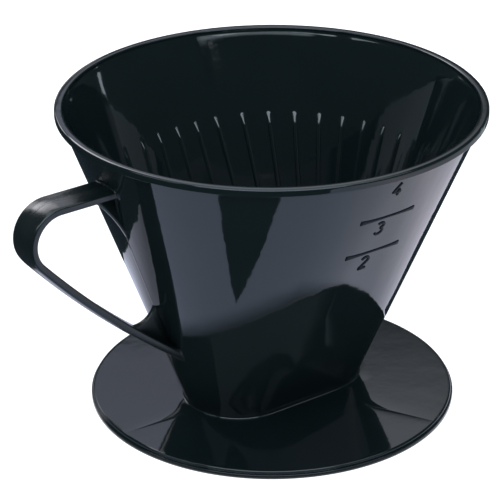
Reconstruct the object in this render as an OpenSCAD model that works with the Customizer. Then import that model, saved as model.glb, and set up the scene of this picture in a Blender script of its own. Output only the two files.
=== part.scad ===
// Moulded plastic filter cone that stands on a mug or jug.
// A round rim tapers to an oval foot on a round plate, with a strap handle on one end.
// The origin is the centre of the plate's underside, +Z is up, the handle points to -X
// and the level marks are on the -Y side. All sizes are in millimetres.

/* [Rim] */
// Height from the plate's underside to the top of the rim
cone_h = 96; // [88:1:110]
// Outside diameter of the rim lip
rim_d = 128; // [118:1:138]
// Height of the lip band
lip_h = 2.2; // [1.6:0.1:4]
// Width of the lip, seen from above
lip_w = 3.2; // [2.8:0.1:5]
// How far the lip stands out past the wall
lip_out = 1.65; // [0.8:0.05:2.2]
// Rounding of the lip's two top edges
lip_round = 0.7; // [0.2:0.1:1.2]

/* [Cup] */
// Thickness of the wall, measured level
wall_t = 1.5; // [1.2:0.1:2.4]
// Length of the oval foot, in line with the handle
foot_l = 58.5; // [50:0.5:66]
// Width of the oval foot
foot_w = 33.1; // [26:0.1:40]
// Radius of the hollow corner between the foot and the plate
foot_fillet = 1.1; // [0.5:0.1:2]
// Thickness of the floor inside the foot
floor_t = 1.8; // [1.2:0.1:3]

/* [Ribs] */
// Height of the rounded tops of the ribs above the plate's underside
rib_top = 71.4; // [50:0.2:84]
// Width of one rib, which stands half as far out of the wall
rib_w = 1.5; // [0.8:0.1:2]
// Ribs on each side of the middle of an end
end_ribs = 8; // [4:1:9]
// Angle between the ribs nearest the middle of an end
rib_step = 8; // [7:0.1:9]
// How much the angle grows from rib to rib
rib_spread = 0.125; // [0:0.005:0.15]
// Ribs on each long side
side_ribs = 5; // [1:2:5]
// Distance between the ribs on a long side
side_pitch = 7.1; // [5:0.1:7.4]

/* [Handle] */
// Width of the strap
strap_w = 10.4; // [7:0.2:14]
// Thickness of the strap
strap_t = 2.7; // [2:0.1:4]
// How far the strap's outer face is crowned
strap_crown = 0.4; // [0.1:0.05:0.6]
// Rounding of the strap's edges
strap_round = 0.6; // [0.3:0.05:0.8]
// Distance from the rim's top down to the middle of the top arm
arm_drop = 12.6; // [9:0.1:18]
// Distance from the cup's centre line out to the start of the bend
bend_x = 76.7; // [72:0.1:84]
// Radius of the bend, at the middle of the strap
bend_r = 9.7; // [7:0.1:12]
// Angle that the strap turns through in the bend
bend_turn = 132; // [126:1:138]
// Radius of the slight bow in the lower arm
bow_r = 318; // [220:1:500]
// Thickness of the two webs in the corners of the handle
web_t = 1.8; // [1.2:0.1:3]
// How far the upper web reaches out along the top arm
top_web_l = 7; // [4:0.5:9]
// How far the upper web reaches down the cup
top_web_h = 17; // [10:0.5:20]
// Radius of the upper web's hollow edge
top_web_r = 50; // [25:1:90]
// Height where the lower web's edge meets the cup
low_web_z = 42; // [36:0.5:48]
// How far the lower web reaches out from the cup
low_web_l = 8; // [6:0.5:10]
// Radius of the lower web's hollow edge
low_web_r = 7; // [6.5:0.5:14]

/* [Plate] */
// Diameter of the plate over its edge bead
plate_d = 111.8; // [100:0.2:124]
// Thickness of the plate's edge
plate_t = 2.4; // [2:0.1:4]
// Height of the edge bead
bead_h = 1.3; // [0.8:0.1:1.6]
// How far the bead stands out past the plate's upper edge
bead_out = 0.5; // [0.2:0.1:1]
// Rounding of the plate's upper edge
plate_round = 0.4; // [0.2:0.1:0.7]
// Depth of the hollow under the plate
hollow_h = 0.8; // [0.4:0.1:1.2]
// Width of the skirt round the hollow
skirt_w = 2; // [1.2:0.1:4]
// Outside diameter of the ring that centres the plate on a mug
ring_d = 76; // [70:1:90]
// Width of that ring
ring_w = 1.8; // [1:0.1:4]

/* [Outlet] */
// Diameter of each of the two drip holes
hole_d = 4.6; // [3:0.1:6]
// Distance between the two drip holes
hole_gap = 18; // [10:0.5:24]

/* [Level marks] */
// Height of the upper mark above the plate's underside
upper_mark_z = 78.9; // [74:0.1:84]
// Height of the lower mark above the plate's underside
lower_mark_z = 65.5; // [56:0.1:70]
// Length of each mark
mark_l = 19; // [10:0.5:24]
// Thickness of each mark's line
mark_w = 0.7; // [0.5:0.1:1.5]
// How far the marks stand out of the wall
mark_out = 0.25; // [0.1:0.05:0.5]

/* [Hidden] */
// Facets of the round shapes that are blended, and of the other round shapes
blend_fn = 96;
$fn = 96;
// Facets of an edge's quarter rounding
edge_fn = 5;
// A sliver that lets one cut run clear of a face
clear = 1;

rim_r = rim_d / 2;
// Underside of the lip, where the wall's own taper ends
wall_top = cone_h - lip_h;
wall_top_r = rim_r - lip_out;
foot_r = foot_w / 2;
// Half the straight stretch of the oval foot
foot_half = foot_l / 2 - foot_r;
floor_z = hollow_h + floor_t;
plate_r = plate_d / 2;
rib_r = rib_w / 2;
arm_z = cone_h - arm_drop;
bend_z = arm_z - bend_r;
// Direction, from the bend's centre, in which the bend ends and the bow begins
bend_end = 90 + bend_turn;
bow_x = -bend_x + (bend_r - bow_r) * cos(bend_end);
bow_z = bend_z + (bend_r - bow_r) * sin(bend_end);
// The lower arm is carried this near to the centre line, and the cup's inside trims it
arm_end_x = -(foot_l / 2 - wall_t);
bow_turn = 360 - acos((arm_end_x - bow_x) / bow_r) - bend_end;
arm_under = arm_z - strap_t / 2;

// How much of the taper lies above a height: 0 at the lip, 1 at the plate
function taper(z) = (wall_top - z) / (wall_top - plate_t);
// Radius of the wall's round ends at a height, and half the straight between them
function end_r(z) = wall_top_r + taper(z) * (foot_r - wall_top_r);
function half_straight(z) = taper(z) * foot_half;
// Distance from the centre line to the outside of the wall under the handle
function wall_x(z) = half_straight(z) + end_r(z);
// Points of an arc
function arc(c, r, from, to, n = edge_fn) =
    [for (i = [0:n]) let (a = from + (to - from) * i / n) c + r * [cos(a), sin(a)]];
// Centre of the circle of radius r through p and q, on the left of the way from p to q
function circle_centre(p, q, r) =
    let (d = q - p, h = sqrt(max(0, r * r - (d * d) / 4)))
    (p + q) / 2 + h / norm(d) * [-d[1], d[0]];
// Point on the wall, inset by a distance, in the direction that a round end faces
function end_point(side, angle, z, inset) =
    [side * (half_straight(z) + (end_r(z) - inset) * cos(angle)), (end_r(z) - inset) * sin(angle), z];
// Point on the wall, inset by a distance, at a distance x along a long side
function side_point(side, x, z, inset) =
    let (over = max(0, abs(x) - half_straight(z)), r = end_r(z) - inset)
    [x, side * sqrt(r * r - over * over), z];
// Turn of the rib number k from the middle of an end
function rib_angle(k) = rib_step * (k + 0.5) + rib_spread * (k + 0.5) * (k + 0.5);

// A thin slice of the cup at a height, grown outwards by a distance
module slice(z, grow) {
    for (side = [-1, 1])
        translate([side * half_straight(z), 0, z])
            cylinder(h = 0.001, r = end_r(z) + grow, $fn = blend_fn);
}

// The cup's tapering form between two heights, grown outwards by a distance
module taper_form(low, high, grow) {
    hull() {
        slice(low, grow);
        slice(high, grow);
    }
}

module lip() {
    rotate_extrude()
        polygon(concat(
            [[rim_r - lip_w, wall_top], [rim_r, wall_top]],
            arc([rim_r - lip_round, cone_h - lip_round], lip_round, 0, 90),
            arc([rim_r - lip_w + lip_round, cone_h - lip_round], lip_round, 90, 180)
        ));
}

module plate() {
    upper_r = plate_r - bead_out;
    rotate_extrude()
        polygon(concat(
            [[0, hollow_h], [ring_d / 2 - ring_w, hollow_h], [ring_d / 2 - ring_w, 0]],
            [[ring_d / 2, 0], [ring_d / 2, hollow_h], [plate_r - skirt_w, hollow_h]],
            [[plate_r - skirt_w, 0], [plate_r, 0], [plate_r, bead_h], [upper_r, bead_h]],
            arc([upper_r - plate_round, plate_t - plate_round], plate_round, 0, 90),
            [[0, plate_t]]
        ));
}

// Section of the hollow corner: its arc touches the plate and the leaning wall
module fillet_section() {
    lean = (wall_top_r - foot_r) / (wall_top - plate_t);
    slant = atan(lean);
    reach = foot_fillet * (lean + sqrt(1 + lean * lean));
    polygon(concat([[-wall_t / 2, 0]], arc([reach, foot_fillet], foot_fillet, 270, 180 - slant)));
}

module foot_corner() {
    translate([0, 0, plate_t - 0.05])
        for (turn = [0, 180])
            rotate([0, 0, turn]) {
                translate([foot_half, 0, 0])
                    rotate([0, 0, -90])
                        rotate_extrude(angle = 180)
                            translate([foot_r, 0]) fillet_section();
                translate([-foot_half, 0, 0])
                    rotate([90, 0, 90])
                        linear_extrude(2 * foot_half)
                            translate([foot_r, 0]) fillet_section();
            }
}

// Section of the strap: x runs from the handle's inside out, y across the strap
module strap_section(middle_r) {
    inner = middle_r - strap_t / 2;
    outer = middle_r + strap_t / 2;
    side = strap_w / 2 - strap_round;
    shoulder = outer - strap_crown - strap_round;
    crown_r = (side * side + strap_crown * strap_crown) / (2 * strap_crown);
    crown_a = asin(side / crown_r);
    polygon(concat(
        arc([inner + strap_round, -side], strap_round, 180, 270),
        arc([shoulder, -side], strap_round, 270, 360 - crown_a),
        arc([outer - crown_r, 0], crown_r, -crown_a, crown_a, 2 * edge_fn),
        arc([shoulder, side], strap_round, crown_a, 90),
        arc([inner + strap_round, side], strap_round, 90, 180)
    ));
}

// The handle's middle line lies in the plane of x and z: drawn flat, then stood up
module strap() {
    translate([-bend_x, bend_z])
        rotate([90, 0, 90])
            linear_extrude(bend_x - wall_x(arm_z) + 2 * wall_t) strap_section(bend_r);
    translate([-bend_x, bend_z])
        rotate([0, 0, 90])
            rotate_extrude(angle = bend_turn) strap_section(bend_r);
    translate([bow_x, bow_z])
        rotate([0, 0, bend_end])
            rotate_extrude(angle = bow_turn) strap_section(bow_r);
}

// Outline of the web under the top arm, with a hollow edge from the arm to the cup
module upper_web() {
    on_arm = [-wall_x(arm_under) - top_web_l, arm_under];
    on_cup = [-wall_x(arm_under - top_web_h), arm_under - top_web_h];
    difference() {
        polygon([
            on_arm, on_arm + [0, strap_t / 2], [-wall_x(arm_z) + wall_t, arm_z],
            on_cup + [wall_t, 0], on_cup
        ]);
        translate(circle_centre(on_cup, on_arm, top_web_r)) circle(r = top_web_r);
    }
}

// Outline of the web over the lower arm, with a hollow edge from the arm to the cup
module lower_web() {
    on_cup = [-wall_x(low_web_z), low_web_z];
    arm_x = on_cup[0] - low_web_l;
    inner_r = bow_r - strap_t / 2;
    arm_y = bow_z - sqrt(inner_r * inner_r - (arm_x - bow_x) * (arm_x - bow_x));
    on_arm = [arm_x, arm_y];
    joint_z = arm_y - low_web_l;
    difference() {
        polygon([
            on_cup, on_arm, on_arm + [0, -strap_t / 2], [-wall_x(joint_z), joint_z],
            on_cup + [wall_t, 0]
        ]);
        translate(circle_centre(on_arm, on_cup, low_web_r)) circle(r = low_web_r);
    }
}

module handle() {
    rotate([90, 0, 0]) {
        strap();
        linear_extrude(web_t, center = true) {
            upper_web();
            lower_web();
        }
    }
}

// A rib along the inside of the wall: a round bar half sunk in it, with a round top
module rib(from, to) {
    way = to - from;
    translate(from)
        rotate([0, acos(way[2] / norm(way)), atan2(way[1], way[0])]) {
            cylinder(h = norm(way), r = rib_r, $fn = 16);
            translate([0, 0, norm(way)]) sphere(r = rib_r, $fn = 16);
        }
}

module ribs() {
    low = floor_z - floor_t / 2;
    for (side = [-1, 1]) {
        for (k = [0:end_ribs - 1], up = [-1, 1])
            rib(end_point(side, up * rib_angle(k), low, wall_t),
                end_point(side, up * rib_angle(k), rib_top, wall_t));
        for (k = [0:side_ribs - 1])
            let (x = side_pitch * (k - (side_ribs - 1) / 2))
                rib(side_point(side, x, low, wall_t), side_point(side, x, rib_top, wall_t));
    }
}

// The level marks are strips of a skin that lies on the wall
module level_marks() {
    intersection() {
        taper_form(lower_mark_z - clear, upper_mark_z + clear, mark_out);
        for (z = [lower_mark_z, upper_mark_z])
            translate([-mark_l / 2, -rim_r, z - mark_w / 2])
                cube([mark_l, rim_r - end_r(z) + 2 * wall_t, mark_w]);
    }
}

module filter_cone() {
    color("#121416") {
        difference() {
            union() {
                taper_form(hollow_h, wall_top, 0);
                plate();
                foot_corner();
                handle();
                level_marks();
            }
            taper_form(floor_z, wall_top + clear, -wall_t);
            for (side = [-1, 1])
                translate([side * hole_gap / 2, 0, -clear])
                    cylinder(h = floor_z + 2 * clear, d = hole_d);
        }
        lip();
        ribs();
    }
}

filter_cone();
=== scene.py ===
import math

import bmesh
import bpy
import numpy as np
from mathutils import Matrix, Vector
from mathutils.geometry import tessellate_polygon


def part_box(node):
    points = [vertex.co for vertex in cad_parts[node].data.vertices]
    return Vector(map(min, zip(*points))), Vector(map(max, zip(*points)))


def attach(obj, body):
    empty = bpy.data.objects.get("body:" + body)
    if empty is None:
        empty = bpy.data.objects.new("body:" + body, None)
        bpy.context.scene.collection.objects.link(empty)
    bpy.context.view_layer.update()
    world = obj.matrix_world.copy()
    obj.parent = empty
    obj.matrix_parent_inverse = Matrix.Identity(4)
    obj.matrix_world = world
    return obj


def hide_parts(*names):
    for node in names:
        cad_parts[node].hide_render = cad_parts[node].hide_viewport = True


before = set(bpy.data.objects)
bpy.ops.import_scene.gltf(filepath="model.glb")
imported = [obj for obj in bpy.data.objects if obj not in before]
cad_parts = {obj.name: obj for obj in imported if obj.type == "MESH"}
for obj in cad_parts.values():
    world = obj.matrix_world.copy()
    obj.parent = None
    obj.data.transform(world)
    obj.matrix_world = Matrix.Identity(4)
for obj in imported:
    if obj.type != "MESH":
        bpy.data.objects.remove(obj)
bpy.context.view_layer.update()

MM = 0.001
NODE = "filter_cone"
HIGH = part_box(NODE)[1]

# Rim
CONE_H = HIGH.z / MM
RIM_R = HIGH.x / MM
LIP_H = 2.2
LIP_OUT = 1.65
LIP_ROUND = 0.7
LIP_INNER_ROUND = 0.5
LIP_UNDER_ROUND = 0.25
# The lip's inner edge stands this far back from the flare
LIP_STEP = 0.02
# Extra rows near the lip's roundings, which keep its faces flat in the shading
LIP_INNER_HOLD = 0.12
LIP_OUTER_HOLDS = (0.3, 0.4)
LIP_UNDER_HOLD = 0.4
# The hollow corner under the lip: how far out and how far down it goes
LIP_CORNER = (0.08, 0.05)
# How far the crowned top of the lip falls at its edges, and how steep it is there
LIP_CROWN = 0.035
LIP_CROWN_TILT = 6.0
# The inside keeps the wall's slope up to SLOPE_TOP, with a slight flare from FLARE_Z
SLOPE_TOP = 94.9
FLARE_Z = 91.5
FLARE_OUT = 0.08
WALL_TOP = CONE_H - LIP_H
WALL_TOP_R = RIM_R - LIP_OUT
# Cup
WALL_T = 1.5
FOOT_L = 58.5
FOOT_R = 33.1 / 2
FOOT_HALF = FOOT_L / 2 - FOOT_R
FOOT_FILLET = 0.6
# How high the foot's hollow corner climbs, in radii of the corner
FOOT_CLIMB = 1.447
FLOOR_T = 1.8
FLOOR_ROUND = 1.0
# Ribs
RIB_TOP = 71.4
RIB_R = 0.75
# A rib's upper end tapers into the wall over RIB_RAMP. RIB_NOSE rounds that end as seen from
# the front, and RIB_SWELL as seen from the side.
RIB_RAMP = 3.2
RIB_NOSE = 1.6
RIB_SWELL = 1.25
END_RIBS = 8
RIB_STEP = 8.0
RIB_SPREAD = 0.125
SIDE_PITCH = 7.1
SIDE_RIBS = 5
# Handle
STRAP_W = 10.4
STRAP_T = 2.7
STRAP_CROWN = 0.4
STRAP_ROUND = 0.6
STRAP_SEAM = 0.06
STRAP_SEAM_W = 0.3
# Points round the strap's section: on the crown, on each corner and along the inner face
CROWN_STEPS = 32
CORNER_STEPS = 6
FACE_POINTS = 9
# Points along the strap: on the top arm, round the bend and along the bow
ARM_POINTS = 12
BEND_POINTS = 49
BOW_POINTS = 40
ARM_Z = CONE_H - 12.6
BEND_X = 76.7
BEND_R = 9.7
BEND_TURN = 132.0
BOW_R = 318.0
# Angles, in degrees, between which the lower arm meets the wall
BOW_SEARCH = (222, 240)
HALVINGS = 40
STRAP_FILLET = 0.8
# How far the flared end of the strap dips under the wall's surface
FLARE_DIP = 0.015
# How far the webs run into the strap and the wall
TUCK = 0.2
# What is hidden in the wall ends this share of the wall's thickness below its surface
SUNK = 0.5
LOW_WEB_SUNK = 0.4
WEB_T = 1.8
WEB_STEPS = 24
WEB_ROUND_POINTS = 9
# An extra row of the webs behind their rounding
WEB_HOLD = 0.2
TOP_WEB_L = 7.0
TOP_WEB_H = 17.0
TOP_WEB_R = 50.0
TOP_WEB_ROUND = 0.3
# How far the upper web's hidden corner lies up in the strap
TOP_WEB_RISE = 0.6
LOW_WEB_Z = 42.0
LOW_WEB_FOOT_Z = 28.5
LOW_WEB_L = 8.0
LOW_WEB_R = 7.0
LOW_WEB_ROUND = 0.54
# The lower web's hidden edge: how far into the wall it follows the strap, and its points on the
# strap and on the wall, WEB_STEPS + 1 together
LOW_WEB_IN = 0.3
LOW_WEB_BACK = (17, 8)
# Plate
PLATE_R = 111.8 / 2
PLATE_T = 2.4
BEAD_H = 1.3
BEAD_OUT = 0.5
PLATE_ROUND = 0.6
GROOVE = 0.3
# How high over the bead the groove's upper edge is, outside and inside, and its lower corner
GROOVE_RISE = (0.42, 0.36)
GROOVE_CORNER = 0.02
BEAD_ROUND = 0.25
UNDER_ROUND = 0.2
UNDER_EDGE = 0.15
# Extra rows: inside the top's rounding, below the top of the bead, and over the underside
PLATE_HOLD = 0.6
BEAD_HOLD = 0.45
UNDER_HOLD = 0.35
PLATE_RADII = (32.2, 33.0, 34.0, 36.0, 40.0, 45.0, 50.0)
# The plate sinks slightly beside three weld seams, less so further out
SEAM_ANGLES = (64.6, 180.0, 295.4)
SEAM_START = 31.6
SINK_DEPTH = 0.16
SINK_W = 1.3
SINK_FADE_IN = 2.0
SINK_FADE_R = 36.0
SINK_FADE_L = 20.0
SINK_FADE = 0.85
# Columns beside a seam, in millimetres from it at the radius SINK_STEPS_R
SINK_STEPS = (0, 0.12, 0.3, 0.55, 0.9, 1.4, 2.1, 3.0)
SINK_STEPS_R = 45.0
# Degrees between the plate's other columns, and how far those keep from the ones beside a seam
PLATE_STEP = 2.0
SEAM_GAP = 0.4
HOLLOW_H = 0.8
SKIRT_W = 2.0
RING_R = 76.0 / 2
RING_W = 1.8
FLOOR_Z = HOLLOW_H + FLOOR_T
FOOT_TOP = PLATE_T + FOOT_CLIMB * FOOT_FILLET
# Rows of the cup's inside and outside: heights from and to, and how many. The inside's rows
# crowd where the ribs taper.
INNER_ROWS = (
    (FLOOR_Z + FLOOR_ROUND, 10, 5),
    (14, RIB_TOP - RIB_RAMP - 1, 16),
    (RIB_TOP - RIB_RAMP - 0.4, RIB_TOP + 0.3, 18),
    (RIB_TOP + 2, FLARE_Z - 0.6, 4),
    (FLARE_Z, SLOPE_TOP, 7),
)
OUTER_ROWS = (
    (WALL_TOP - 0.35, WALL_TOP - 0.8, 2),
    (WALL_TOP - 2.5, FOOT_TOP + 2, 16),
    (FOOT_TOP + 0.8, FOOT_TOP + 0.8, 1),
)
# Outlet
HOLE_R = 4.6 / 2
HOLE_GAP = 18.0
HOLE_EDGE = 0.2
HOLE_STEPS = 48
# Level marks
MARK_L = 19.0
MARK_W = 0.6
MARK_END_W = 1.5
MARK_OUT = 0.25
MARK_POINTS = 25
MARK_HEIGHTS = (78.9, 65.5)
# Section of a raised stroke: shares of its width and of its height
STROKE_SECTION = ((-0.5, -0.3), (-0.5, 0.6), (-0.38, 1), (0.38, 1), (0.5, 0.6), (0.5, -0.3))
STROKE_W = 0.17
# Where a stroke's stretches are divided, and the middle of the digits' grid
STROKE_SHARES = (0, 0.34, 0.67)
GRID_MIDDLE = (0.3, 0.5)
DIGIT_AT = {2: (-1.6, 61.4), 3: (-1.4, 74.8), 4: (-1.1, 89.4)}
DIGIT_H = {2: 5.0, 3: 4.8, 4: 4.9}


def arc(centre, radius, start, end, steps):
    """Points of an arc in a plane, from one angle to another, in degrees."""
    angles = np.radians(np.linspace(start, end, steps + 1))
    return np.stack([centre[0] + radius * np.cos(angles), centre[1] + radius * np.sin(angles)], -1)


def taper(z):
    """0 under the lip, 1 at the plate."""
    return (WALL_TOP - z) / (WALL_TOP - PLATE_T)


def end_r(z):
    """Radius of the wall's round ends at a height."""
    return WALL_TOP_R + taper(z) * (FOOT_R - WALL_TOP_R)


def half_straight(z):
    """Half the straight stretch of the wall's section at a height."""
    return max(0.0, taper(z) * FOOT_HALF)


def lean(angle):
    """How fast the wall spreads with height, where it faces a plan angle in radians."""
    return (WALL_TOP_R - FOOT_R - FOOT_HALF * np.abs(np.cos(angle))) / (WALL_TOP - PLATE_T)


def wall_x(z, y=0.0):
    """Distance from the middle plane to the outside of the wall at its ends."""
    return half_straight(z) + math.sqrt(end_r(z) ** 2 - y * y)


# The cup's columns
# A section of the cup is a stadium. One quarter of it is measured as a distance along the
# outline from the middle of an end, and columns of points crowd round each rib.
RIB_OFFSETS = np.array([0, 0.22, 0.42, 0.58, 0.69, 0.76, 0.92])
SEAM_OFFSETS = np.array([0, 0.1, 0.22, 0.5])
SEAM_H = 0.06
SEAM_W = 0.22
MID_COLUMNS = 2
# A rib's columns take at most this share of the gap to the next rib
GAP_SHARE = 0.46
# Stands for a distance from a rib's middle where there is no rib
NO_RIB = 9.0


def rib_angle(k):
    """Plan angle that a rib on an end faces, in radians."""
    return math.radians(RIB_STEP * (k + 0.5) + RIB_SPREAD * (k + 0.5) ** 2)


def anchors(r, half):
    """Distances along a quarter of the outline: the seam, the end ribs and the side ribs."""
    along = [0.0] + [r * rib_angle(k) for k in range(END_RIBS)]
    for k in range(SIDE_RIBS // 2, -1, -1):
        x = SIDE_PITCH * k
        if x <= half:
            along.append(r * math.pi / 2 + half - x)
        else:
            along.append(r * math.acos((x - half) / r))
    return along


def quarter(r, half):
    """Distances of all columns of a quarter, and how far each lies from its rib's middle."""
    at = anchors(r, half)
    along, off = [], []
    for i in range(len(at) - 1):
        squeeze = min(1.0, GAP_SHARE * (at[i + 1] - at[i]) / RIB_OFFSETS[-1])
        left = (SEAM_OFFSETS if i == 0 else RIB_OFFSETS) * squeeze
        right = RIB_OFFSETS[:0:-1] * squeeze
        start, end = at[i] + left, at[i + 1] - right
        middle = np.linspace(start[-1], end[0], MID_COLUMNS + 2)[1:-1]
        along += [start, middle, end]
        left_off = np.full(len(left), NO_RIB) if i == 0 else left
        off += [left_off, np.full(MID_COLUMNS, NO_RIB), right]
    along.append([at[-1]])
    off.append([0.0])
    return np.concatenate(along), np.concatenate(off)


def outline(along, r, half):
    """Plan points and outward directions of a quarter's columns."""
    turn = np.minimum(along / r, math.pi / 2)
    straight = np.maximum(along - r * math.pi / 2, 0)
    facing = np.stack([np.cos(turn), np.sin(turn)], -1)
    points = facing * r + np.stack([half - straight, np.zeros_like(turn)], -1)
    return points, facing


def mirror_round(values):
    """Repeats a quarter's points or directions round all four quarters."""
    parts = []
    for sx, sy, back in ((1, 1, False), (-1, 1, True), (-1, -1, False), (1, -1, True)):
        part = values[::-1] if back else values
        parts.append((part * np.array([sx, sy]))[:-1])
    return np.concatenate(parts)


def ring_points(z, inset, height=None):
    """A closed ring of points at a height, inset from the wall's outside, and their facings.

    height(along, off) gives how far each column stands inwards of that.
    """
    r, half = end_r(z) - inset, half_straight(z)
    along, off = quarter(r, half)
    points, facing = outline(along, r, half)
    if height is not None:
        points = points - facing * height(along, off)[:, None]
    return mirror_round(points), mirror_round(facing)


def level(plan, z):
    """Plan points with a height, which may differ from point to point."""
    return np.column_stack([plan, np.broadcast_to(z, len(plan))])


def rib_height(z):
    """Section of the ribs at a height: round bars whose upper ends taper into the wall."""
    def height(along, off):
        share = np.clip((RIB_TOP - off ** 2 / (RIB_NOSE * RIB_R) - z) / RIB_RAMP, 0, 1)
        rise = RIB_R * (1 - (1 - share) ** RIB_SWELL)
        return rise * np.sqrt(np.clip(1 - (off / RIB_R) ** 2, 0, None))
    return height


def parting_ridge(along, off):
    """A fine raised parting line down the middle of each end of the cup's outside.

    It takes off, as a height for ring_points does, but needs only along.
    """
    return -SEAM_H * np.clip(1 - along / SEAM_W, 0, None)


# Meshes

def make_object(name, bm, material):
    """Turns a bmesh in millimetres into an object that stands where the part's frame says."""
    bmesh.ops.recalc_face_normals(bm, faces=bm.faces)
    bmesh.ops.scale(bm, vec=(MM, MM, MM), verts=bm.verts)
    mesh = bpy.data.meshes.new(name)
    for face in bm.faces:
        face.smooth = True
    bm.to_mesh(mesh)
    bm.free()
    mesh.materials.append(material)
    made = bpy.data.objects.new(name, mesh)
    bpy.context.collection.objects.link(made)
    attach(made, "root")
    return made


def bridge(bm, lower, upper):
    """Quads between two closed rings of vertices with as many points."""
    count = len(lower)
    for i in range(count):
        j = (i + 1) % count
        bm.faces.new((lower[i], lower[j], upper[j], upper[i]))


def bridge_all(bm, rings):
    """Quads between each ring and the next."""
    for lower, upper in zip(rings, rings[1:]):
        bridge(bm, lower, upper)


def add_ring(bm, points):
    """Vertices for a row of points."""
    return [bm.verts.new(p) for p in points]


def fill_flat(bm, outer, holes):
    """Triangles between a closed ring and the rings inside it, all at one height."""
    loops = [outer] + holes
    verts = [v for loop in loops for v in loop]
    for a, b, c in tessellate_polygon([[v.co for v in loop] for loop in loops]):
        if len({a, b, c}) == 3:
            bm.faces.new((verts[a], verts[b], verts[c]))


def row_heights(spans):
    """Heights of all the rows in a table of spans."""
    return np.concatenate([np.linspace(*span) for span in spans])


def inner_rings():
    """The inside of the cup, from the floor up to the inner edge of the lip's top."""
    rings = []
    for angle in (90, 60, 30):
        inset = WALL_T + FLOOR_ROUND * math.sin(math.radians(angle))
        z = FLOOR_Z + FLOOR_ROUND * (1 - math.cos(math.radians(90 - angle)))
        plan, _ = ring_points(z, inset)
        rings.append(level(plan, z))
    for z in row_heights(INNER_ROWS):
        flared = FLARE_OUT * max(0.0, (z - FLARE_Z) / (SLOPE_TOP - FLARE_Z)) ** 2
        plan, _ = ring_points(z, WALL_T - flared, rib_height(z))
        rings.append(level(plan, z))
    return rings


def lip_corner(edge, radius, outward, steps=6):
    """A rounded edge of the lip, whose round ends where the crowned top takes over."""
    drop = CONE_H - LIP_CROWN - radius * math.cos(math.radians(LIP_CROWN_TILT))
    if outward:
        return arc((edge - radius, drop), radius, 90 - LIP_CROWN_TILT, 0, steps)
    return arc((edge + radius, drop), radius, 180, 90 + LIP_CROWN_TILT, steps)


def lip_rings():
    """The lip, from the inside of the wall over the crowned top to the outside of the wall."""
    inner = end_r(SLOPE_TOP) - WALL_T + FLARE_OUT + LIP_STEP
    start = lip_corner(inner, LIP_INNER_ROUND, False)
    end = lip_corner(RIM_R, LIP_ROUND, True)
    across = np.linspace(-1, 1, 9)[1:-1]
    half = (end[0][0] - start[-1][0]) / 2
    middle = (end[0][0] + start[-1][0]) / 2
    crown = np.stack([middle + half * across, CONE_H - LIP_CROWN * across ** 2], -1)
    profile = np.concatenate([
        [[inner, SLOPE_TOP + LIP_INNER_HOLD]],
        start, crown, end,
        [[RIM_R, CONE_H - LIP_ROUND - LIP_OUTER_HOLDS[0]],
         [RIM_R, WALL_TOP + LIP_OUTER_HOLDS[1]]],
        arc((RIM_R - LIP_UNDER_ROUND, WALL_TOP + LIP_UNDER_ROUND), LIP_UNDER_ROUND, 0, -90, 3),
        [[WALL_TOP_R + LIP_UNDER_HOLD, WALL_TOP],
         [WALL_TOP_R + LIP_CORNER[0], WALL_TOP - LIP_CORNER[1]]],
    ])
    r = end_r(WALL_TOP) - WALL_T
    along, _ = quarter(r, 0.0)
    turn = along / r
    facing = mirror_round(np.stack([np.cos(turn), np.sin(turn)], -1))
    return [level(facing * radius, z) for radius, z in profile]


def outer_rings():
    """The outside of the cup, from under the lip down to the hollow corner at the foot."""
    rings = []
    for z in row_heights(OUTER_ROWS):
        plan, _ = ring_points(z, 0, parting_ridge)
        rings.append(level(plan, z))
    plan, facing = ring_points(PLATE_T, 0)
    slope = lean(np.arctan2(facing[:, 1], facing[:, 0]))
    reach = FOOT_FILLET * (slope + np.sqrt(1 + slope ** 2))
    start = np.degrees(math.pi - np.arctan(slope))
    for step in np.linspace(0, 1, 8):
        angle = np.radians(start + (270 - start) * step)
        out = reach + FOOT_FILLET * np.cos(angle)
        rings.append(level(plan + facing * out[:, None],
                           PLATE_T + FOOT_FILLET * (1 + np.sin(angle))))
    return rings


def seam_offsets():
    """Angles of the plate's columns, in degrees, which crowd round its three weld seams."""
    angles = set(np.arange(0, 360, PLATE_STEP))
    steps = np.degrees(np.array(SINK_STEPS) / SINK_STEPS_R)
    for seam in SEAM_ANGLES:
        angles = {a for a in angles if abs(a - seam) > steps[-1] + SEAM_GAP}
        angles |= {round(seam + side * s, 4) for s in steps for side in (-1, 1)}
    return np.array(sorted(angles))


def sink(radius, turn):
    """How far the plate's top sinks beside its weld seams."""
    depth = np.zeros(len(turn))
    for seam in SEAM_ANGLES:
        away = np.abs((turn - seam + 180) % 360 - 180)
        depth += np.exp(-np.radians(away) * radius / SINK_W)
    fade_in = np.clip((radius - SEAM_START) / SINK_FADE_IN, 0, 1)
    fade_out = 1 - SINK_FADE * np.clip((radius - SINK_FADE_R) / SINK_FADE_L, 0, 1)
    return SINK_DEPTH * fade_in * fade_out * depth


def underside_step(radius, rising):
    """A step of the plate's underside at a radius, going inwards, with its edges broken."""
    heights = [0.0, UNDER_EDGE, HOLLOW_H - UNDER_EDGE, HOLLOW_H]
    if not rising:
        heights.reverse()
    return [[radius + out, z] for out, z in zip((UNDER_EDGE, 0, 0, -UNDER_EDGE), heights)]


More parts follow.
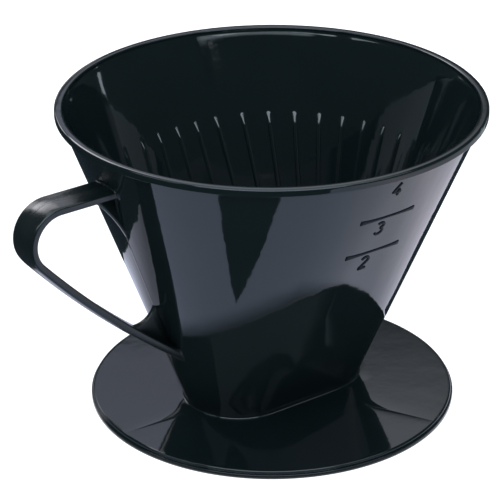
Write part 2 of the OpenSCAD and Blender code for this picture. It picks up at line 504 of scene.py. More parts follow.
def plate_rings():
    """The plate's top, from round the foot outwards, over its edge bead and back underneath."""
    upper_r = PLATE_R - BEAD_OUT
    flat_r = upper_r - PLATE_ROUND
    groove_r = upper_r - GROOVE
    turn = seam_offsets()
    facing = np.stack([np.cos(np.radians(turn)), np.sin(np.radians(turn))], -1)
    rings = []
    for radius in (SEAM_START, *PLATE_RADII, flat_r - PLATE_HOLD, flat_r):
        rings.append(level(facing * radius, PLATE_T - sink(radius, turn)))
    profile = np.concatenate([
        arc((flat_r, PLATE_T - PLATE_ROUND), PLATE_ROUND, 75, 0, 5),
        [[upper_r, BEAD_H + GROOVE_RISE[0]], [groove_r, BEAD_H + GROOVE_RISE[1]]],
        [[groove_r, BEAD_H + GROOVE_CORNER], [upper_r + GROOVE_CORNER, BEAD_H]],
        arc((PLATE_R - BEAD_ROUND, BEAD_H - BEAD_ROUND), BEAD_ROUND, 90, 0, 4),
        [[PLATE_R, BEAD_H - BEAD_HOLD], [PLATE_R, UNDER_HOLD]],
        arc((PLATE_R - UNDER_ROUND, UNDER_ROUND), UNDER_ROUND, 0, -90, 3),
        underside_step(PLATE_R - SKIRT_W, True),
        underside_step(RING_R, False),
        underside_step(RING_R - RING_W, True),
    ])
    return rings + [level(facing * radius, z) for radius, z in profile]


def hole_rings(bm, side):
    """Rings of one drip hole, from the floor's top down to its underside."""
    centre = (side * HOLE_GAP / 2, 0)
    loops = []
    rows = ((HOLE_EDGE, FLOOR_Z), (0, FLOOR_Z - HOLE_EDGE),
            (0, HOLLOW_H + HOLE_EDGE), (HOLE_EDGE, HOLLOW_H))
    for wider, z in rows:
        plan = arc(centre, HOLE_R + wider, 0, 360, HOLE_STEPS)[:-1]
        loops.append(add_ring(bm, level(plan, z)))
    return loops


def cup_and_plate(material):
    """The cup with its ribs, lip, foot, plate and drip holes, as one closed surface."""
    bm = bmesh.new()
    cup_rings = [add_ring(bm, p) for p in inner_rings() + lip_rings() + outer_rings()]
    under_rings = [add_ring(bm, p) for p in plate_rings()]
    bridge_all(bm, cup_rings)
    bridge_all(bm, under_rings)
    fill_flat(bm, under_rings[0], [cup_rings[-1]])
    holes = [hole_rings(bm, side) for side in (-1, 1)]
    for loops in holes:
        bridge_all(bm, loops)
    fill_flat(bm, cup_rings[0], [loops[0] for loops in holes])
    fill_flat(bm, under_rings[-1], [loops[-1] for loops in holes])
    return make_object("cup_and_plate", bm, material)


# The handle

def strap_profile():
    """Section of the strap: distance outwards from its middle, distance across, and facings."""
    half_t = STRAP_T / 2
    side = STRAP_W / 2 - STRAP_ROUND
    shoulder = half_t - STRAP_CROWN - STRAP_ROUND
    crown_r = (side ** 2 + STRAP_CROWN ** 2) / (2 * STRAP_CROWN)
    crown = math.degrees(math.asin(side / crown_r))
    inner = -half_t + STRAP_ROUND
    middle = arc((half_t - crown_r, 0), crown_r, -crown, crown, CROWN_STEPS)
    middle[:, 0] += STRAP_SEAM * np.clip(1 - np.abs(middle[:, 1]) / STRAP_SEAM_W, 0, None)
    pieces = [
        (arc((inner, -side), STRAP_ROUND, 180, 270, CORNER_STEPS), (180, 270)),
        (arc((shoulder, -side), STRAP_ROUND, 270, 360 - crown, CORNER_STEPS),
         (270, 360 - crown)),
        (middle, (-crown, crown)),
        (arc((shoulder, side), STRAP_ROUND, crown, 90, CORNER_STEPS), (crown, 90)),
        (arc((inner, side), STRAP_ROUND, 90, 180, CORNER_STEPS), (90, 180)),
        (np.array([[-half_t, y] for y in np.linspace(side, -side, FACE_POINTS)]), (180, 180)),
    ]
    points, facing = [], []
    for part, (start, end) in pieces:
        points.append(part[:-1])
        facing.append(arc((0, 0), 1, start, end, len(part) - 1)[:-1])
    return np.concatenate(points), np.concatenate(facing)


def strap_paths():
    """Centres of the bend and of the lower arm's bow, and the angle at which they meet."""
    bend = np.array([-BEND_X, ARM_Z - BEND_R])
    bend_end = 90 + BEND_TURN
    away = np.array([math.cos(math.radians(bend_end)), math.sin(math.radians(bend_end))])
    bow = bend + (BEND_R - BOW_R) * away
    return bend, bow, bend_end


def bow_hit(bow, radius, y):
    """Angle at which the lower arm's line at a radius meets the outside of the wall."""
    low, high = [math.radians(angle) for angle in BOW_SEARCH]
    for _ in range(HALVINGS):
        middle = (low + high) / 2
        x, z = bow[0] + radius * math.cos(middle), bow[1] + radius * math.sin(middle)
        if x < -wall_x(z, y):
            low = middle
        else:
            high = middle
    return low


def wall_normal(plan):
    """Outward direction of the wall's outside where its section faces a plan direction."""
    plan = plan / np.linalg.norm(plan)
    k = float(lean(math.atan2(plan[1], plan[0])))
    n = np.array([plan[0], plan[1], -k])
    return n / np.linalg.norm(n)


def flare(hit, way, facing, rows=7):
    """Rows of points that turn from a line that runs into the wall out onto the wall."""
    n = wall_normal(np.array([hit[0] + half_straight(hit[2]), hit[1]]))
    across = facing - way * (facing @ n) / (way @ n)
    across = across / np.linalg.norm(across)
    start, end = hit - way * STRAP_FILLET, hit + across * STRAP_FILLET - n * FLARE_DIP
    out = []
    for t in np.linspace(0, 1, rows):
        out.append((1 - t) ** 2 * start + 2 * t * (1 - t) * hit + t * t * end)
    out.append(end - n * WALL_T * SUNK)
    return out


def round_points(centre, radius, v, angles):
    """Points round a centre in the handle's plane, at a distance v from that plane."""
    return [np.array([centre[0] + radius * math.cos(a), v, centre[1] + radius * math.sin(a)])
            for a in angles]


def strap_column(u, v, fu, fv):
    """A line of points along the strap, from the wall round the bend and back to the wall.

    u and v place it in the strap's section, and fu and fv say which way it faces there.
    """
    bend, bow, bend_end = strap_paths()
    z = ARM_Z + u
    hit = np.array([-wall_x(z, v), v, z])
    points = flare(hit, np.array([1.0, 0, 0]), np.array([0, fv, fu]))[::-1]
    start_x, end_x = points[-1][0], -BEND_X
    for t in np.linspace(0, 1, ARM_POINTS)[1:-1]:
        points.append(np.array([start_x + (end_x - start_x) * t, v, z]))
    turn = np.radians(np.linspace(90, bend_end, BEND_POINTS))
    points += round_points(bend, BEND_R + u, v, turn)
    radius = BOW_R + u
    last = bow_hit(bow, radius, v)
    stop = last - STRAP_FILLET / radius
    along = np.linspace(math.radians(bend_end), stop, BOW_POINTS)[1:-1]
    points += round_points(bow, radius, v, along)
    hit = round_points(bow, radius, v, [last])[0]
    way = np.array([-math.sin(last), 0, math.cos(last)])
    out = np.array([fu * math.cos(last), fv, fu * math.sin(last)])
    return points + flare(hit, way, out)


def strap(material):
    """The handle's strap, flared where it runs into the cup."""
    columns = [strap_column(*place, *way) for place, way in zip(*strap_profile())]
    bm = bmesh.new()
    rings = [add_ring(bm, points) for points in zip(*columns)]
    bridge_all(bm, rings)
    for ring in (rings[0], rings[-1]):
        middle = bm.verts.new(sum((v.co for v in ring), Vector()) / len(ring))
        for i in range(len(ring)):
            bm.faces.new((ring[i], ring[(i + 1) % len(ring)], middle))
    return make_object("handle_strap", bm, material)


def circle_centre(p, q, r):
    """Centre of the circle of radius r through p and q, on the left of the way from p to q."""
    d = q - p
    length = np.linalg.norm(d)
    h = math.sqrt(max(0.0, r * r - length * length / 4))
    return (p + q) / 2 + h / length * np.array([-d[1], d[0]])


def hollow_edge(start, end, r, steps):
    """Points of the short arc of radius r from start to end that bends away from its left."""
    centre = circle_centre(start, end, r)
    a = math.atan2(start[1] - centre[1], start[0] - centre[0])
    b = math.atan2(end[1] - centre[1], end[0] - centre[0])
    b = a + (b - a + math.pi) % (2 * math.pi) - math.pi
    angles = np.linspace(a, b, steps + 1)
    edge = np.stack([centre[0] + r * np.cos(angles), centre[1] + r * np.sin(angles)], -1)
    return edge, (edge - centre) / r


def web(name, edge, inward, back, rounding, material):
    """A thin web in the handle's plane, with a rounded hollow edge.

    edge and inward give the edge's points and the way into the web. back gives, for each
    of those points, one inside the strap or the wall that the web runs into.
    """
    half = WEB_T / 2
    bm = bmesh.new()
    rows = []
    for point, into, root in zip(edge, inward, back):
        hold = point + into * (rounding + WEB_HOLD)
        row = [(root[0], -half, root[1]), (hold[0], -half, hold[1])]
        for angle in np.radians(np.linspace(-90, 90, WEB_ROUND_POINTS)):
            at = point + into * (rounding * (1 - math.cos(angle)))
            side = np.sign(round(math.sin(angle), 6))
            y = (half - rounding) * side + rounding * math.sin(angle)
            row.append((at[0], y, at[1]))
        row.append((hold[0], half, hold[1]))
        row.append((root[0], half, root[1]))
        rows.append(add_ring(bm, row))
    for a, b in zip(rows, rows[1:]):
        for i in range(len(a) - 1):
            bm.faces.new((a[i], a[i + 1], b[i + 1], b[i]))
        bm.faces.new((a[-1], a[0], b[0], b[-1]))
    for row in (rows[0], rows[-1]):
        bm.faces.new(row)
    bmesh.ops.remove_doubles(bm, verts=bm.verts, dist=0.001)
    return make_object(name, bm, material)


def upper_web(material):
    """The web in the corner under the top arm."""
    under = ARM_Z - STRAP_T / 2
    low = under - TOP_WEB_H
    on_arm = np.array([-wall_x(under) - TOP_WEB_L, under + TUCK])
    on_cup = np.array([-wall_x(low) + TUCK, low])
    edge, out = hollow_edge(on_cup, on_arm, TOP_WEB_R, WEB_STEPS)
    corner = np.array([-wall_x(under) + WALL_T * SUNK, under + TOP_WEB_RISE])
    return web("upper_web", edge, out, [corner] * len(edge), TOP_WEB_ROUND, material)


def lower_web(material):
    """The web in the corner over the lower arm."""
    _, bow, _ = strap_paths()
    on_cup = np.array([-wall_x(LOW_WEB_Z) + TUCK, LOW_WEB_Z])
    arm_x = on_cup[0] - LOW_WEB_L
    inner_r = BOW_R - STRAP_T / 2 + TUCK
    start = math.acos((arm_x - bow[0]) / inner_r)
    on_arm = bow + inner_r * np.array([math.cos(start), -math.sin(start)])
    edge, out = hollow_edge(on_arm, on_cup, LOW_WEB_R, WEB_STEPS)
    last = math.acos((-wall_x(LOW_WEB_FOOT_Z) + LOW_WEB_IN - bow[0]) / BOW_R)
    back = [bow + BOW_R * np.array([math.cos(a), -math.sin(a)])
            for a in np.linspace(start, last, LOW_WEB_BACK[0])]
    back += [np.array([-wall_x(z) + WALL_T * LOW_WEB_SUNK, z])
             for z in np.linspace(LOW_WEB_FOOT_Z + 1, LOW_WEB_Z, LOW_WEB_BACK[1])]
    return web("lower_web", edge, out, back, LOW_WEB_ROUND, material)


# Level marks

def wall_y(x, z):
    """Distance from the middle plane to the outside of the wall on a long side."""
    over = max(0.0, abs(x) - half_straight(z))
    return math.sqrt(end_r(z) ** 2 - over * over)


def on_wall(x, z, out):
    """A point over the -Y side of the wall, at a distance out of it."""
    y = -wall_y(x, z)
    over = math.copysign(max(0.0, abs(x) - half_straight(z)), x)
    return np.array([x, y, z]) + wall_normal(np.array([over, y])) * out


def raised_stroke(bm, middle, widths):
    """A raised strip on the wall along a line of (x, z) points, as wide as widths says."""
    middle = np.asarray(middle, float)
    ways = np.gradient(middle, axis=0)
    ways = ways / np.linalg.norm(ways, axis=1)[:, None]
    across = np.stack([-ways[:, 1], ways[:, 0]], -1)
    rows = []
    for point, side, width in zip(middle, across, widths):
        row = []
        for share, out in STROKE_SECTION:
            x, z = point + side * width * share
            row.append(on_wall(x, z, MARK_OUT * out))
        rows.append(add_ring(bm, row))
    bridge_all(bm, rows)
    for row in (rows[0], rows[-1]):
        bm.faces.new(row)


def level_lines(bm):
    """The two level lines, which widen towards their ends."""
    for z in MARK_HEIGHTS:
        along = np.linspace(-MARK_L / 2, MARK_L / 2, MARK_POINTS)
        share = np.abs(along) / (MARK_L / 2)
        widths = MARK_W + (MARK_END_W - MARK_W) * share ** 2
        raised_stroke(bm, [(x, z) for x in along], widths)


def digit(bm, strokes, centre, size):
    """A digit made of strokes on a grid 0.6 wide and 1 high."""
    for stroke in strokes:
        points = []
        for a, b in zip(stroke, stroke[1:]):
            a, b = np.array(a), np.array(b)
            points += [a + (b - a) * t for t in STROKE_SHARES]
        points.append(np.array(stroke[-1]))
        placed = [(centre[0] + (x - GRID_MIDDLE[0]) * size,
                   centre[1] + (z - GRID_MIDDLE[1]) * size) for x, z in points]
        raised_stroke(bm, placed, [STROKE_W * size] * len(placed))


def round_stroke(centre, rx, ry, start, end, steps=12):
    """Points of an elliptical arc on the digit's grid."""
    angles = np.radians(np.linspace(start, end, steps + 1))
    return [(centre[0] + rx * math.cos(a), centre[1] + ry * math.sin(a)) for a in angles]


def level_marks(material):
    """Two level lines and the plain numbers 2, 3 and 4."""
    bm = bmesh.new()
    level_lines(bm)
    two = [round_stroke((0.3, 0.73), 0.24, 0.22, 165, -35) + [(0.06, 0.06)],
           [(0.04, 0.06), (0.56, 0.06)]]
    three = [round_stroke((0.28, 0.74), 0.24, 0.2, 150, -80),
             round_stroke((0.28, 0.28), 0.27, 0.24, 80, -150)]
    four = [[(0.42, 0.96), (0.04, 0.3), (0.58, 0.3)], [(0.42, 0.5), (0.42, 0.04)]]
    for number, strokes in ((4, four), (3, three), (2, two)):
        digit(bm, strokes, DIGIT_AT[number], DIGIT_H[number])
    return make_object("level_marks", bm, material)


# Materials

PLASTIC_TINT = ((0, (0.0032, 0.006, 0.0068)), (1, (0.0044, 0.008, 0.009)))
MARK_TINT = ((0, (0.003, 0.005, 0.01)), (1, (0.005, 0.008, 0.015)))
PLASTIC_IOR = 1.5
MARK_ROUGHNESS = 0.6
MARK_SPECULAR = 0.15
MOTTLE_SCALE = 60.0
MOTTLE_DETAIL = 4.0
MOTTLE_RANGE = (0.3, 0.7)
RIPPLE_SCALE = 110.0
RIPPLE_DETAIL = 3.0
RIPPLE_DEPTH = 0.0005
GRAIN_SCALE = 900.0


def shader(name):
    """A new material with its nodes, links and Principled BSDF."""
    material = bpy.data.materials.new(name)
    material.use_nodes = True
    nodes, links = material.node_tree.nodes, material.node_tree.links
    return material, nodes, links, nodes["Principled BSDF"]


def ramp(nodes, stops):
    """A colour ramp from a list of places and colours."""
    node = nodes.new("ShaderNodeValToRGB")
    elements = node.color_ramp.elements
    while len(elements) < len(stops):
        elements.new(0.5)
    for element, (place, colour) in zip(elements, stops):
        element.position = place
        element.color = (*colour, 1)
    return node


def map_range(nodes, low, high, to_low, to_high, smooth=False):
    """A node that maps one range onto another, in a straight line or smoothly."""
    node = nodes.new("ShaderNodeMapRange")
    node.interpolation_type = "SMOOTHSTEP" if smooth else "LINEAR"
    values = {"From Min": low, "From Max": high, "To Min": to_low, "To Max": to_high}
    for socket, value in values.items():
        node.inputs[socket].default_value = value
    return node


def noise(nodes, links, vector, scale, detail=2.0):
    """The output of a noise texture over a vector."""
    node = nodes.new("ShaderNodeTexNoise")
    node.inputs["Scale"].default_value = scale
    node.inputs["Detail"].default_value = detail
    links.new(vector, node.inputs["Vector"])
    return node.outputs["Fac"]


def black_plastic(name, stretch=(1, 1, 1), polish_range=(0.03, 0.07), ripple_strength=0.09):
    """Black moulded plastic: a faint cool tint, slight mottling and fine ripples.

    stretch scales the pattern along the axes, and polish_range is its roughness.
    """
    material, nodes, links, principled = shader(name)
    principled.inputs["IOR"].default_value = PLASTIC_IOR
    place = nodes.new("ShaderNodeTexCoord")
    along = nodes.new("ShaderNodeMapping")
    along.inputs["Scale"].default_value = stretch
    links.new(place.outputs["Object"], along.inputs["Vector"])
    mottle = noise(nodes, links, along.outputs["Vector"], MOTTLE_SCALE, MOTTLE_DETAIL)
    tint = ramp(nodes, PLASTIC_TINT)
    links.new(mottle, tint.inputs["Fac"])
    links.new(tint.outputs["Color"], principled.inputs["Base Color"])
    polish = map_range(nodes, *MOTTLE_RANGE, *polish_range)
    links.new(mottle, polish.inputs["Value"])
    links.new(polish.outputs["Result"], principled.inputs["Roughness"])
    ripple = noise(nodes, links, along.outputs["Vector"], RIPPLE_SCALE, RIPPLE_DETAIL)
    bump = nodes.new("ShaderNodeBump")
    bump.inputs["Strength"].default_value = ripple_strength
    bump.inputs["Distance"].default_value = RIPPLE_DEPTH
    links.new(ripple, bump.inputs["Height"])
    links.new(bump.outputs["Normal"], principled.inputs["Normal"])
    return material


def mark_plastic():
    """The level marks are left matt from the mould, so they read as dark lines on the gloss."""
    material, nodes, links, principled = shader("mark_plastic")
    principled.inputs["Roughness"].default_value = MARK_ROUGHNESS
    principled.inputs["Specular IOR Level"].default_value = MARK_SPECULAR
    place = nodes.new("ShaderNodeTexCoord")
    grain = noise(nodes, links, place.outputs["Object"], GRAIN_SCALE)
    tint = ramp(nodes, MARK_TINT)
    links.new(grain, tint.inputs["Fac"])
    links.new(tint.outputs["Color"], principled.inputs["Base Color"])
    return material


# Camera

FOCAL_MM = 182.68
SENSOR_MM = 36.0
CAMERA_AT = (-414.73, -554.36, 380.09)
CAMERA_FACING = math.radians(53.744)
CAMERA_DOWN = math.radians(25.676)
CAMERA_ROLL = math.radians(-0.328)
CLIP_END_M = 20.0


def make_camera():
    """The camera stands where the photograph's own camera stood."""
    data = bpy.data.cameras.new("camera")
    data.lens = FOCAL_MM
    data.sensor_width = SENSOR_MM
    data.clip_end = CLIP_END_M
    camera = bpy.data.objects.new("camera", data)
    bpy.context.collection.objects.link(camera)
    ahead = Vector((
        math.cos(CAMERA_FACING) * math.cos(CAMERA_DOWN),
        math.sin(CAMERA_FACING) * math.cos(CAMERA_DOWN),
        -math.sin(CAMERA_DOWN),
    ))
    right = ahead.cross(Vector((0, 0, 1))).normalized()
    up = right.cross(ahead)
    across = math.cos(CAMERA_ROLL) * right + math.sin(CAMERA_ROLL) * up
    upright = -math.sin(CAMERA_ROLL) * right + math.cos(CAMERA_ROLL) * up
    turn = Matrix((across, upright, -ahead)).transposed().to_4x4()
    camera.matrix_world = Matrix.Translation(Vector(CAMERA_AT) * MM) @ turn
    bpy.context.scene.camera = camera


# Studio
# The floor is lit white. Glossy plastic shows its surroundings, so the studio has what the
# photograph's own reflections show: softboxes, a grey backdrop, a painted shadow and dark cloths
# beside a white sheet. The camera looks past all of them.

# Heights of the sheets, the painted shadow and the cloths, in order from the floor, and of the
# flag by the handle
SHEET_Z = 0.4
LEFT_SHEET_Z = 0.6
SHADOW_AND_CLOTH_Z = 0.8
HANDLE_FLAG_Z = 80.0
FAR = 2400.0
ROOM_R = FAR * 1.1
ROUND_STEPS = 64
FLOOR_HALF_M = 6.0
FLOOR_COLOUR = (0.3, 0.3, 0.3, 1)
FLOOR_GLOW = (0.98, 0.985, 1, 1)
FLOOR_POWER = 0.95
WORLD_COLOUR = (0.97, 0.98, 1, 1)
LEFT_SHEET = ((-125, 34), (-40, 34), (-15, 50), (-15, 110), (-125, 110))
# A painted shadow: a dark patch, seen only in reflections, where the object's shadow falls on the
# floor in front to the left
FRONT_SHADOW = ((-120, 25), (-120, -54), (-89, -45.2), (-72, -40.2), (-60, -37.6), (-52.5, -36.3),
               (-50.5, -51), (-50, -64), (-51, -80), (-46, -300), (-20, -FAR),
               (-FAR, -FAR), (-FAR, 25))
BACK_CLOTH = ((-FAR, 25), (-120, 25), (-97, 46), (-89, 52), (-83, 60), (-74, 67), (-50, 81),
              (-30, 92), (20, 100), (60, 40), (57, -11), (74, -5), (98, 1), (124, 11),
              (148, 20), (FAR, 780), (FAR, FAR), (-FAR, FAR))
HANDLE_FLAG = ((-110, 20), (-70, 20), (-62, 34), (-50, 50), (-33, 63), (-10, 71), (-10, 122),
               (-110, 122))
SHEET_TINT = ((0, (0.7, 0.8, 1.07)), (0.3, (0.72, 0.84, 1.12)), (0.5, (1.0, 1.03, 1.22)),
              (0.61, (1.2, 1.18, 1.38)), (1, (0.6, 0.66, 0.74)))
# Ends of the sheet's tint, from left to right, in metres
SHEET_ENDS = (-0.12, 0.24)
# The gap between the plate's edge and the sheet
SHEET_GAP = 0.3
# The sheet's shade: how far within the plate's edge it starts and how far past it it ends
SHADE_START = 1
SHADE_REACH = 8
# From the first to the second place on X the shade grows 6 mm narrower. These are metres.
SHADE_NARROWS = (-0.01, 0.04, 0, 0.006)
# The sheet's strength where the shade starts
SHADE_AT_PLATE = 0.15
LEFT_SHEET_COLOUR = (0.95, 1, 1.24, 1)
# Where the left sheet's climb starts and ends on Y, in metres, and its strength there
LEFT_SHEET_CLIMB = (0.044, 0.076, 0.41, 0.97)
# The colour of the painted shadow and of the dark cloths
SHADOW_AND_CLOTH_COLOUR = (0.02, 0.03, 0.04, 1)
ROOM_COLOUR = (0.05, 0.075, 0.08, 1)
SOFTBOX_WHITE = (0.84, 1.0, 1.1)
HANDLE_WHITE = (0.95, 0.95, 1)
HANDLE_MIDDLE = (-80, 0, 84)
# The backdrop's direction, distance and half width, and the height its elevations count from
BACKDROP_FACING = math.radians(58)
BACKDROP_AWAY = 890.0
BACKDROP_HALF = 330.0
BACKDROP_BASE_Z = 96.0
BACKDROP_POWER = 1.5
BACKDROP_ENDS = (18, 50)
# Where the left side's brightness turns into the right side's, in metres across the backdrop
BACKDROP_TURN = (0.03, 0.08)
# Elevations on the backdrop, in degrees, and how bright it is there
BACKDROP_CLIMB = ((18, 0), (20.6, 0.06), (22.3, 0.24), (24.2, 0.44), (25.7, 0.62), (37, 1.0))
BACKDROP_LEFT_CLIMB = ((18, 0), (20.6, 0.06), (21.4, 0.16), (22.1, 0.44), (25.4, 0.5), (37, 1.0))
BACKDROP_TINT = ((0, (0, 0, 0)), (0.12, (0.85, 0.9, 1.15)), (0.5, (0.85, 0.9, 1.12)),
                 (0.78, (0.72, 0.76, 0.84)), (0.92, (0.45, 0.47, 0.5)), (1, (0.1, 0.1, 0.1)))


def emission(name):
    """An emission material, whose colour and strength are left for the caller."""
    material = bpy.data.materials.new(name)
    material.use_nodes = True
    nodes, links = material.node_tree.nodes, material.node_tree.links
    nodes.remove(nodes["Principled BSDF"])
    glow = nodes.new("ShaderNodeEmission")
    links.new(glow.outputs["Emission"], nodes["Material Output"].inputs["Surface"])
    return material, nodes, links, glow


def math_node(nodes, operation, *values):
    """A math node with its first inputs set."""
    node = nodes.new("ShaderNodeMath")
    node.operation = operation
    for i, value in enumerate(values):
        node.inputs[i].default_value = value
    return node


def multiply(nodes, links, first, second):
    """The product of two outputs."""
    node = math_node(nodes, "MULTIPLY")
    links.new(first, node.inputs[0])
    links.new(second, node.inputs[1])
    return node.outputs["Value"]


def position(nodes, links):
    """The place on a piece in metres, as one vector and as its parts X, Y and Z."""
    place = nodes.new("ShaderNodeTexCoord")
    parts = nodes.new("ShaderNodeSeparateXYZ")
    links.new(place.outputs["Object"], parts.inputs["Vector"])
    return place.outputs["Object"], parts.outputs


def stage_mesh(name, points, faces, material, lights_matt=False):
    """A stage piece that only reflections see, or that also lights the object."""
    mesh = bpy.data.meshes.new(name)
    mesh.from_pydata([tuple(c * MM for c in p) for p in points], [], faces)
    mesh.materials.append(material)
    made = bpy.data.objects.new(name, mesh)
    bpy.context.collection.objects.link(made)
    made.visible_camera = False
    made.visible_shadow = False
    made.visible_diffuse = lights_matt
    return made


def rectangle(w, h):
    """Corners of a flat rectangle, from its half sizes."""
    return [(-w, -h, 0), (w, -h, 0), (w, h, 0), (-w, h, 0)]


def make_floor():
    """A plain white floor, bright enough that only a trace of shadow shows."""
    mesh = bpy.data.meshes.new("floor")
    mesh.from_pydata(rectangle(FLOOR_HALF_M, FLOOR_HALF_M), [], [(0, 1, 2, 3)])
    material, _, _, principled = shader("floor_white")
    principled.inputs["Base Color"].default_value = FLOOR_COLOUR
    principled.inputs["Roughness"].default_value = 1.0
    principled.inputs["Specular IOR Level"].default_value = 0.0
    principled.inputs["Emission Color"].default_value = FLOOR_GLOW
    principled.inputs["Emission Strength"].default_value = FLOOR_POWER
    mesh.materials.append(material)
    floor = bpy.data.objects.new("floor", mesh)
    bpy.context.collection.objects.link(floor)


def make_sheet():
    """The white sheet round the plate: darker to the left and where the plate shades it."""
    material, nodes, links, glow = emission("sheet")
    place, parts = position(nodes, links)
    across = map_range(nodes, *SHEET_ENDS, 0, 1)
    links.new(parts["X"], across.inputs["Value"])
    tint = ramp(nodes, SHEET_TINT)
    links.new(across.outputs["Result"], tint.inputs["Fac"])
    links.new(tint.outputs["Color"], glow.inputs["Color"])
    far = nodes.new("ShaderNodeVectorMath")
    far.operation = "LENGTH"
    links.new(place, far.inputs[0])
    nearer = map_range(nodes, *SHADE_NARROWS)
    links.new(parts["X"], nearer.inputs["Value"])
    shifted = math_node(nodes, "ADD")
    links.new(far.outputs["Value"], shifted.inputs[0])
    links.new(nearer.outputs["Result"], shifted.inputs[1])
    start, end = (PLATE_R - SHADE_START) * MM, (PLATE_R + SHADE_REACH) * MM
    shade = map_range(nodes, start, end, SHADE_AT_PLATE, 1, True)
    links.new(shifted.outputs["Value"], shade.inputs["Value"])
    links.new(shade.outputs["Result"], glow.inputs["Strength"])
    n = ROUND_STEPS
    inner = [(*p, SHEET_Z) for p in arc((0, 0), PLATE_R + SHEET_GAP, 0, 360, n)[:-1]]
    outer = [(*p, SHEET_Z) for p in arc((0, 0), FAR, 0, 360, n)[:-1]]
    faces = [(i, (i + 1) % n, n + (i + 1) % n, n + i) for i in range(n)]
    stage_mesh("sheet", inner + outer, faces, material)


def make_left_sheet():
    """The sheet behind the handle, which lies in shade and grows brighter away from it."""
    material, nodes, links, glow = emission("left_sheet")
    glow.inputs["Color"].default_value = LEFT_SHEET_COLOUR
    _, parts = position(nodes, links)
    climb = map_range(nodes, *LEFT_SHEET_CLIMB)
    links.new(parts["Y"], climb.inputs["Value"])
    links.new(climb.outputs["Result"], glow.inputs["Strength"])
    points = [(x, y, LEFT_SHEET_Z) for x, y in LEFT_SHEET]
    stage_mesh("left_sheet", points, [(0, 1, 2, 3, 4)], material)


def flat_dark_piece(name, corners, z, material):
    """A flat dark piece with the given corners, at a height, used for the painted shadow and the
    cloths.
    """
    points = [(x, y, z) for x, y in corners]
    faces = tessellate_polygon([[Vector(p) for p in points]])
    stage_mesh(name, points, faces, material)


def make_shadow_and_cloths():
    """A painted shadow in front to the left, and dark cloths behind and under the handle's light.
    """
    material, _, _, glow = emission("shadow_and_cloth")
    glow.inputs["Color"].default_value = SHADOW_AND_CLOTH_COLOUR
    # Painted shadow on the floor in front to the left
    flat_dark_piece("front_painted_shadow", FRONT_SHADOW, SHADOW_AND_CLOTH_Z, material)
    flat_dark_piece("back_cloth", BACK_CLOTH, SHADOW_AND_CLOTH_Z, material)
    flat_dark_piece("handle_flag", HANDLE_FLAG, HANDLE_FLAG_Z, material)


def make_room():
    """The dark room, which reflections show where nothing else stands."""
    bm = bmesh.new()
    bmesh.ops.create_uvsphere(bm, u_segments=32, v_segments=16, radius=ROOM_R)
    points = [tuple(v.co) for v in bm.verts]
    faces = [tuple(v.index for v in f.verts) for f in bm.faces]
    bm.free()
    material, _, _, glow = emission("dark_room")
    glow.inputs["Color"].default_value = ROOM_COLOUR
    stage_mesh("dark_room", points, faces, material)


def edge_fade(nodes, links, parts, halves, soft):
    """A factor that falls smoothly from 1 to 0 at a panel's four edges."""
    fades = []
    for axis, half in zip("XY", halves):
        away = math_node(nodes, "ABSOLUTE")
        links.new(parts[axis], away.inputs[0])
        fade = map_range(nodes, (half - soft * min(halves)) * MM, half * MM, 1, 0, True)
        links.new(away.outputs["Value"], fade.inputs["Value"])
        fades.append(fade.outputs["Result"])
    return multiply(nodes, links, *fades)


def panel(name, azimuth, elevation, distance, size, strength, soft, colour=SOFTBOX_WHITE,
          aim=(0, 0, 60), start=None, lights_matt=True):
    """A softbox that faces the object, placed by the direction in which the object sees it.

    soft is the share of its smaller half over which its edges fade. start is the strength at
    its end of smaller azimuth, where that differs.
    """
    a, e = math.radians(azimuth), math.radians(elevation)
    way = Vector((math.cos(a) * math.cos(e), math.sin(a) * math.cos(e), math.sin(e)))
    w, h = size[0] / 2, size[1] / 2
    material, nodes, links, glow = emission(name)
    glow.inputs["Color"].default_value = (*colour, 1)
    _, parts = position(nodes, links)
    fade = edge_fade(nodes, links, parts, (w, h), soft)
    from_strength = strength if start is None else start
    climb = map_range(nodes, -w * MM, w * MM, from_strength, strength, True)
    links.new(parts["X"], climb.inputs["Value"])
    power = multiply(nodes, links, fade, climb.outputs["Result"])
    links.new(power, glow.inputs["Strength"])
    made = stage_mesh(name, rectangle(w, h), [(0, 1, 2, 3)], material, lights_matt)
    made.location = (Vector(aim) + way * distance) * MM
    made.rotation_euler = way.to_track_quat("Z", "Y").to_euler()


def backdrop_z(elevation):
    """Height on the backdrop at an elevation in degrees."""
    return BACKDROP_BASE_Z + BACKDROP_AWAY * math.tan(math.radians(elevation))


def backdrop_climb(nodes, links, parts, low, high):
    """How bright the backdrop is at each height, which levels off sooner on its left."""
    upwards = map_range(nodes, low * MM, high * MM, 0, 1)
    links.new(parts["Z"], upwards.inputs["Value"])
    to_left = map_range(nodes, *BACKDROP_TURN, 1, 0, True)
    links.new(parts["X"], to_left.inputs["Value"])
    mix = nodes.new("ShaderNodeMix")
    factor, right, left = mix.inputs[0], mix.inputs[2], mix.inputs[3]
    links.new(to_left.outputs["Result"], factor)
    for powers, socket in ((BACKDROP_CLIMB, right), (BACKDROP_LEFT_CLIMB, left)):
        stops = []
        for elevation, power in powers:
            stops.append(((backdrop_z(elevation) - low) / (high - low), (power, power, power)))
        side = ramp(nodes, stops)
        links.new(upwards.outputs["Result"], side.inputs["Fac"])
        links.new(side.outputs["Color"], socket)
    return mix.outputs[0]


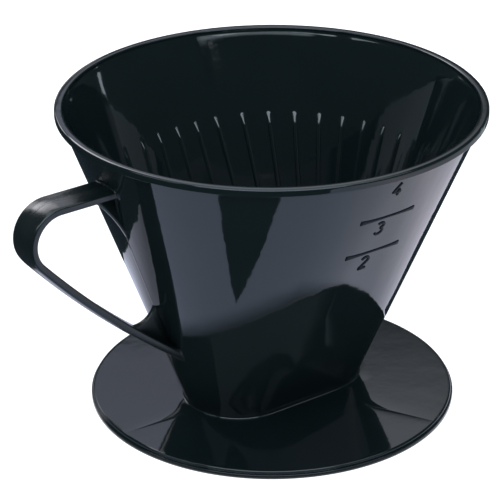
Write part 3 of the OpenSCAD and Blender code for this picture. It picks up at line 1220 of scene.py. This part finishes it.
def backdrop():
    """The grey backdrop: brighter upwards and to the left, and dark below."""
    low, high = [backdrop_z(elevation) for elevation in BACKDROP_ENDS]
    material, nodes, links, glow = emission("backdrop")
    _, parts = position(nodes, links)
    sideways = map_range(nodes, -BACKDROP_HALF * MM, BACKDROP_HALF * MM, 0, 1)
    links.new(parts["X"], sideways.inputs["Value"])
    tint = ramp(nodes, BACKDROP_TINT)
    links.new(sideways.outputs["Result"], tint.inputs["Fac"])
    links.new(tint.outputs["Color"], glow.inputs["Color"])
    power = math_node(nodes, "MULTIPLY", 1.0, BACKDROP_POWER)
    links.new(backdrop_climb(nodes, links, parts, low, high), power.inputs[0])
    links.new(power.outputs["Value"], glow.inputs["Strength"])
    half = BACKDROP_HALF
    corners = [(-half, 0, low), (half, 0, low), (half, 0, high), (-half, 0, high)]
    made = stage_mesh("backdrop", corners, [(0, 1, 2, 3)], material, True)
    facing = Vector((math.cos(BACKDROP_FACING), math.sin(BACKDROP_FACING), 0))
    made.location = facing * BACKDROP_AWAY * MM
    made.rotation_euler = (0, 0, BACKDROP_FACING - math.pi / 2)


def make_world():
    """A white world, and colours shown as they are."""
    world = bpy.data.worlds.new("studio")
    bpy.context.scene.world = world
    world.use_nodes = True
    background = world.node_tree.nodes["Background"]
    background.inputs["Color"].default_value = WORLD_COLOUR
    background.inputs["Strength"].default_value = 1.0
    bpy.context.scene.view_settings.view_transform = "Standard"


def make_panels():
    """All the softboxes: round the cup, over the handle, and small ones for single highlights."""
    panel("key_softbox", azimuth=232.8, elevation=47.6, distance=1000, size=(1240, 288),
          strength=4.8, soft=0.08)
    panel("left_softbox", azimuth=168, elevation=35.5, distance=1100, size=(520, 230),
          strength=3.2, soft=0.3)
    panel("right_softbox", azimuth=305, elevation=46, distance=1100, size=(560, 180),
          strength=2.6, soft=0.3)
    panel("handle_light", azimuth=77.5, elevation=40, distance=600, size=(390, 240),
          strength=9.0, soft=0.25, colour=HANDLE_WHITE, aim=HANDLE_MIDDLE, start=3.0)
    panel("handle_glow", azimuth=85, elevation=19, distance=600, size=(250, 190),
          strength=3.9, soft=0.4, colour=HANDLE_WHITE, aim=HANDLE_MIDDLE, start=1.5)
    panel("arm_glow", azimuth=61, elevation=12.5, distance=200, size=(60, 34),
          strength=0.8, soft=0.4, colour=HANDLE_WHITE, aim=HANDLE_MIDDLE)
    panel("right_strip", azimuth=346, elevation=7.6, distance=300, size=(17, 26),
          strength=2.8, soft=0.3, aim=(-25, 54, 90))
    panel("overhead", azimuth=233, elevation=88, distance=1100, size=(1400, 1300),
          strength=1.8, soft=0.2, lights_matt=False)
    panel("key_fringe", azimuth=244, elevation=35, distance=1100, size=(1300, 250),
          strength=2.2, soft=1.0, aim=(10, 58, 92))
    panel("small_glow", azimuth=269.4, elevation=27.2, distance=1200, size=(110, 60),
          strength=0.9, soft=0.55, colour=(0.85, 0.97, 1.0), aim=(18, 55, 88))


plastic = black_plastic("black_plastic")
strap_plastic = black_plastic("strap_plastic", stretch=(0.25, 3, 0.25), polish_range=(0.18, 0.3),
                              ripple_strength=0.15)
web_plastic = black_plastic("web_plastic", polish_range=(0.28, 0.4))
make_camera()
make_floor()
make_sheet()
make_left_sheet()
make_shadow_and_cloths()
make_room()
make_world()
backdrop()
make_panels()
cup = cup_and_plate(plastic)
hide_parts(NODE)
strap(strap_plastic)
upper_web(plastic)
lower_web(web_plastic)
level_marks(mark_plastic())
